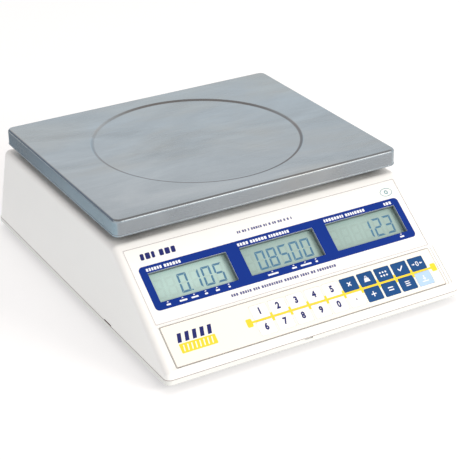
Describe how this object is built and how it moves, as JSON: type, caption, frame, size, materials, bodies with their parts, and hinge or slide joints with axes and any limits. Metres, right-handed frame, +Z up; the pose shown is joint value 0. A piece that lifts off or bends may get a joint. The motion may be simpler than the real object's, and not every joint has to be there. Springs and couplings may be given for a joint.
{
  "type": "counting scale",
  "caption": "Counting scale with a brushed steel pan on a load cell, a sloped front with liquid crystal readouts and a keypad, adjustable feet and an internal battery.",
  "frame": {"origin": "on the table under the middle of the case, between the feet", "axes": "+Z up, the sloped control panel faces -Y, +X to the operator's right"},
  "size_m": [0.311, 0.379, 0.12],
  "materials": {
    "shell_white": "fine moulded texture",
    "shell_grey": "fine moulded texture",
    "pan_steel": "brushed along the width",
    "zinc_steel": "zinc plated",
    "cell_alloy": "machined",
    "cast_alloy": "die cast",
    "dome_steel": "polished",
    "black_rubber": "matte",
    "label_print": "printed film",
    "overlay_cream": "printed film",
    "key_white": "printed film",
    "key_blue": "printed film",
    "key_pale_blue": "printed film",
    "clear_lens": "clear sheet",
    "lcd_glass": "grey-green liquid crystal glass",
    "circuit_board": "solder resist",
    "circuit_film": "polyester film",
    "black_plastic": "moulded",
    "black_gloss": "moulded",
    "battery_case": "moulded",
    "level_clear": "level fluid in a clear cup"
  },
  "bodies": {
    "base": {"upper_shell": "shell_white", "lower_shell": "shell_grey", "case_screws": "zinc_steel", "base_plate": "zinc_steel", "cell_base_spacer": "cell_alloy", "load_cell": "cell_alloy", "cell_top_spacer": "cell_alloy", "lower_cell_screws": "zinc_steel", "upper_cell_screws": "zinc_steel", "overload_stop": "zinc_steel", "pan_support": "cast_alloy", "pan_cushions": "black_rubber", "display_label": "label_print", "display_lens": "clear_lens", "lcd_left": "lcd_glass", "lcd_middle": "lcd_glass", "lcd_right": "lcd_glass", "lcd_holder": "black_plastic", "display_board": "circuit_board", "keypad_overlay": "overlay_cream", "keypad_circuit": "circuit_film", "key_domes": "dome_steel", "main_board": "circuit_board", "board_parts": "black_plastic", "battery": "battery_case", "battery_strap": "zinc_steel", "dc_jack": "black_plastic", "power_switch": "black_plastic", "bubble_level": "level_clear"},
    "pan": {"weighing_pan": "pan_steel"},
    "key_1": {"key_1": "key_white"},
    "key_2": {"key_2": "key_white"},
    "key_3": {"key_3": "key_white"},
    "key_4": {"key_4": "key_white"},
    "key_5": {"key_5": "key_white"},
    "key_clear": {"key_clear": "key_blue"},
    "key_unit_weight": {"key_unit_weight": "key_blue"},
    "key_sample": {"key_sample": "key_blue"},
    "key_check": {"key_check": "key_blue"},
    "key_zero": {"key_zero": "key_blue"},
    "key_6": {"key_6": "key_white"},
    "key_7": {"key_7": "key_white"},
    "key_8": {"key_8": "key_white"},
    "key_9": {"key_9": "key_white"},
    "key_0": {"key_0": "key_white"},
    "key_point": {"key_point": "key_white"},
    "key_add": {"key_add": "key_blue"},
    "key_total": {"key_total": "key_blue"},
    "key_mode": {"key_mode": "key_blue"},
    "key_tare": {"key_tare": "key_pale_blue"},
    "rocker": {"power_rocker": "black_gloss"},
    "battery_door": {"battery_door": "shell_grey"},
    "pad_front_left": {"foot_pad_front_left": "black_rubber"},
    "knob_front_left": {"foot_knob_front_left": "black_plastic"},
    "pad_front_right": {"foot_pad_front_right": "black_rubber"},
    "knob_front_right": {"foot_knob_front_right": "black_plastic"},
    "pad_rear_left": {"foot_pad_rear_left": "black_rubber"},
    "knob_rear_left": {"foot_knob_rear_left": "black_plastic"},
    "pad_rear_right": {"foot_pad_rear_right": "black_rubber"},
    "knob_rear_right": {"foot_knob_rear_right": "black_plastic"}
  },
  "joints": [
    {"name": "pan_lift", "type": "slide", "parent": "base", "child": "pan", "axis": [0, 0, 1], "range_m": [0, 0.12]},
    {"name": "key_1_press", "type": "slide", "parent": "base", "child": "key_1", "axis": [0, 0.6, -0.8], "range_m": [0, 0.0004], "stiffness_N_per_m": 2000, "springref_m": -0.0003},
    {"name": "key_2_press", "type": "slide", "parent": "base", "child": "key_2", "axis": [0, 0.6, -0.8], "range_m": [0, 0.0004], "stiffness_N_per_m": 2000, "springref_m": -0.0003},
    {"name": "key_3_press", "type": "slide", "parent": "base", "child": "key_3", "axis": [0, 0.6, -0.8], "range_m": [0, 0.0004], "stiffness_N_per_m": 2000, "springref_m": -0.0003},
    {"name": "key_4_press", "type": "slide", "parent": "base", "child": "key_4", "axis": [0, 0.6, -0.8], "range_m": [0, 0.0004], "stiffness_N_per_m": 2000, "springref_m": -0.0003},
    {"name": "key_5_press", "type": "slide", "parent": "base", "child": "key_5", "axis": [0, 0.6, -0.8], "range_m": [0, 0.0004], "stiffness_N_per_m": 2000, "springref_m": -0.0003},
    {"name": "key_clear_press", "type": "slide", "parent": "base", "child": "key_clear", "axis": [0, 0.6, -0.8], "range_m": [0, 0.0004], "stiffness_N_per_m": 2000, "springref_m": -0.0003},
    {"name": "key_unit_weight_press", "type": "slide", "parent": "base", "child": "key_unit_weight", "axis": [0, 0.6, -0.8], "range_m": [0, 0.0004], "stiffness_N_per_m": 2000, "springref_m": -0.0003},
    {"name": "key_sample_press", "type": "slide", "parent": "base", "child": "key_sample", "axis": [0, 0.6, -0.8], "range_m": [0, 0.0004], "stiffness_N_per_m": 2000, "springref_m": -0.0003},
    {"name": "key_check_press", "type": "slide", "parent": "base", "child": "key_check", "axis": [0, 0.6, -0.8], "range_m": [0, 0.0004], "stiffness_N_per_m": 2000, "springref_m": -0.0003},
    {"name": "key_zero_press", "type": "slide", "parent": "base", "child": "key_zero", "axis": [0, 0.6, -0.8], "range_m": [0, 0.0004], "stiffness_N_per_m": 2000, "springref_m": -0.0003},
    {"name": "key_6_press", "type": "slide", "parent": "base", "child": "key_6", "axis": [0, 0.6, -0.8], "range_m": [0, 0.0004], "stiffness_N_per_m": 2000, "springref_m": -0.0003},
    {"name": "key_7_press", "type": "slide", "parent": "base", "child": "key_7", "axis": [0, 0.6, -0.8], "range_m": [0, 0.0004], "stiffness_N_per_m": 2000, "springref_m": -0.0003},
    {"name": "key_8_press", "type": "slide", "parent": "base", "child": "key_8", "axis": [0, 0.6, -0.8], "range_m": [0, 0.0004], "stiffness_N_per_m": 2000, "springref_m": -0.0003},
    {"name": "key_9_press", "type": "slide", "parent": "base", "child": "key_9", "axis": [0, 0.6, -0.8], "range_m": [0, 0.0004], "stiffness_N_per_m": 2000, "springref_m": -0.0003},
    {"name": "key_0_press", "type": "slide", "parent": "base", "child": "key_0", "axis": [0, 0.6, -0.8], "range_m": [0, 0.0004], "stiffness_N_per_m": 2000, "springref_m": -0.0003},
    {"name": "key_point_press", "type": "slide", "parent": "base", "child": "key_point", "axis": [0, 0.6, -0.8], "range_m": [0, 0.0004], "stiffness_N_per_m": 2000, "springref_m": -0.0003},
    {"name": "key_add_press", "type": "slide", "parent": "base", "child": "key_add", "axis": [0, 0.6, -0.8], "range_m": [0, 0.0004], "stiffness_N_per_m": 2000, "springref_m": -0.0003},
    {"name": "key_total_press", "type": "slide", "parent": "base", "child": "key_total", "axis": [0, 0.6, -0.8], "range_m": [0, 0.0004], "stiffness_N_per_m": 2000, "springref_m": -0.0003},
    {"name": "key_mode_press", "type": "slide", "parent": "base", "child": "key_mode", "axis": [0, 0.6, -0.8], "range_m": [0, 0.0004], "stiffness_N_per_m": 2000, "springref_m": -0.0003},
    {"name": "key_tare_press", "type": "slide", "parent": "base", "child": "key_tare", "axis": [0, 0.6, -0.8], "range_m": [0, 0.0004], "stiffness_N_per_m": 2000, "springref_m": -0.0003},
    {"name": "power_rock", "type": "hinge", "parent": "base", "child": "rocker", "pos_m": [0.14708, -0.01, 0.04174], "axis": [-0.0366, 0, 0.9993], "range_deg": [-20, 0]},
    {"name": "battery_door_slide", "type": "slide", "parent": "base", "child": "battery_door", "axis": [0, 1, 0], "range_m": [0, 0.01]},
    {"name": "foot_slide_front_left", "type": "slide", "parent": "base", "child": "pad_front_left", "axis": [0, 0, -1], "range_m": [0, 0.006]},
    {"name": "foot_turn_front_left", "type": "hinge", "parent": "pad_front_left", "child": "knob_front_left", "pos_m": [-0.128, -0.16, 0.006], "axis": [0, 0, -1], "range_deg": [0, 1728]},
    {"name": "foot_slide_front_right", "type": "slide", "parent": "base", "child": "pad_front_right", "axis": [0, 0, -1], "range_m": [0, 0.006]},
    {"name": "foot_turn_front_right", "type": "hinge", "parent": "pad_front_right", "child": "knob_front_right", "pos_m": [0.128, -0.16, 0.006], "axis": [0, 0, -1], "range_deg": [0, 1728]},
    {"name": "foot_slide_rear_left", "type": "slide", "parent": "base", "child": "pad_rear_left", "axis": [0, 0, -1], "range_m": [0, 0.006]},
    {"name": "foot_turn_rear_left", "type": "hinge", "parent": "pad_rear_left", "child": "knob_rear_left", "pos_m": [-0.128, 0.16, 0.006], "axis": [0, 0, -1], "range_deg": [0, 1728]},
    {"name": "foot_slide_rear_right", "type": "slide", "parent": "base", "child": "pad_rear_right", "axis": [0, 0, -1], "range_m": [0, 0.006]},
    {"name": "foot_turn_rear_right", "type": "hinge", "parent": "pad_rear_right", "child": "knob_rear_right", "pos_m": [0.128, 0.16, 0.006], "axis": [0, 0, -1], "range_deg": [0, 1728]}
  ],
  "couplings": [
    {"joint": "foot_slide_front_left", "follows": "foot_turn_front_left", "m_per_rad": 0.00019894},
    {"joint": "foot_slide_front_right", "follows": "foot_turn_front_right", "m_per_rad": 0.00019894},
    {"joint": "foot_slide_rear_left", "follows": "foot_turn_rear_left", "m_per_rad": 0.00019894},
    {"joint": "foot_slide_rear_right", "follows": "foot_turn_rear_right", "m_per_rad": 0.00019894}
  ]
}
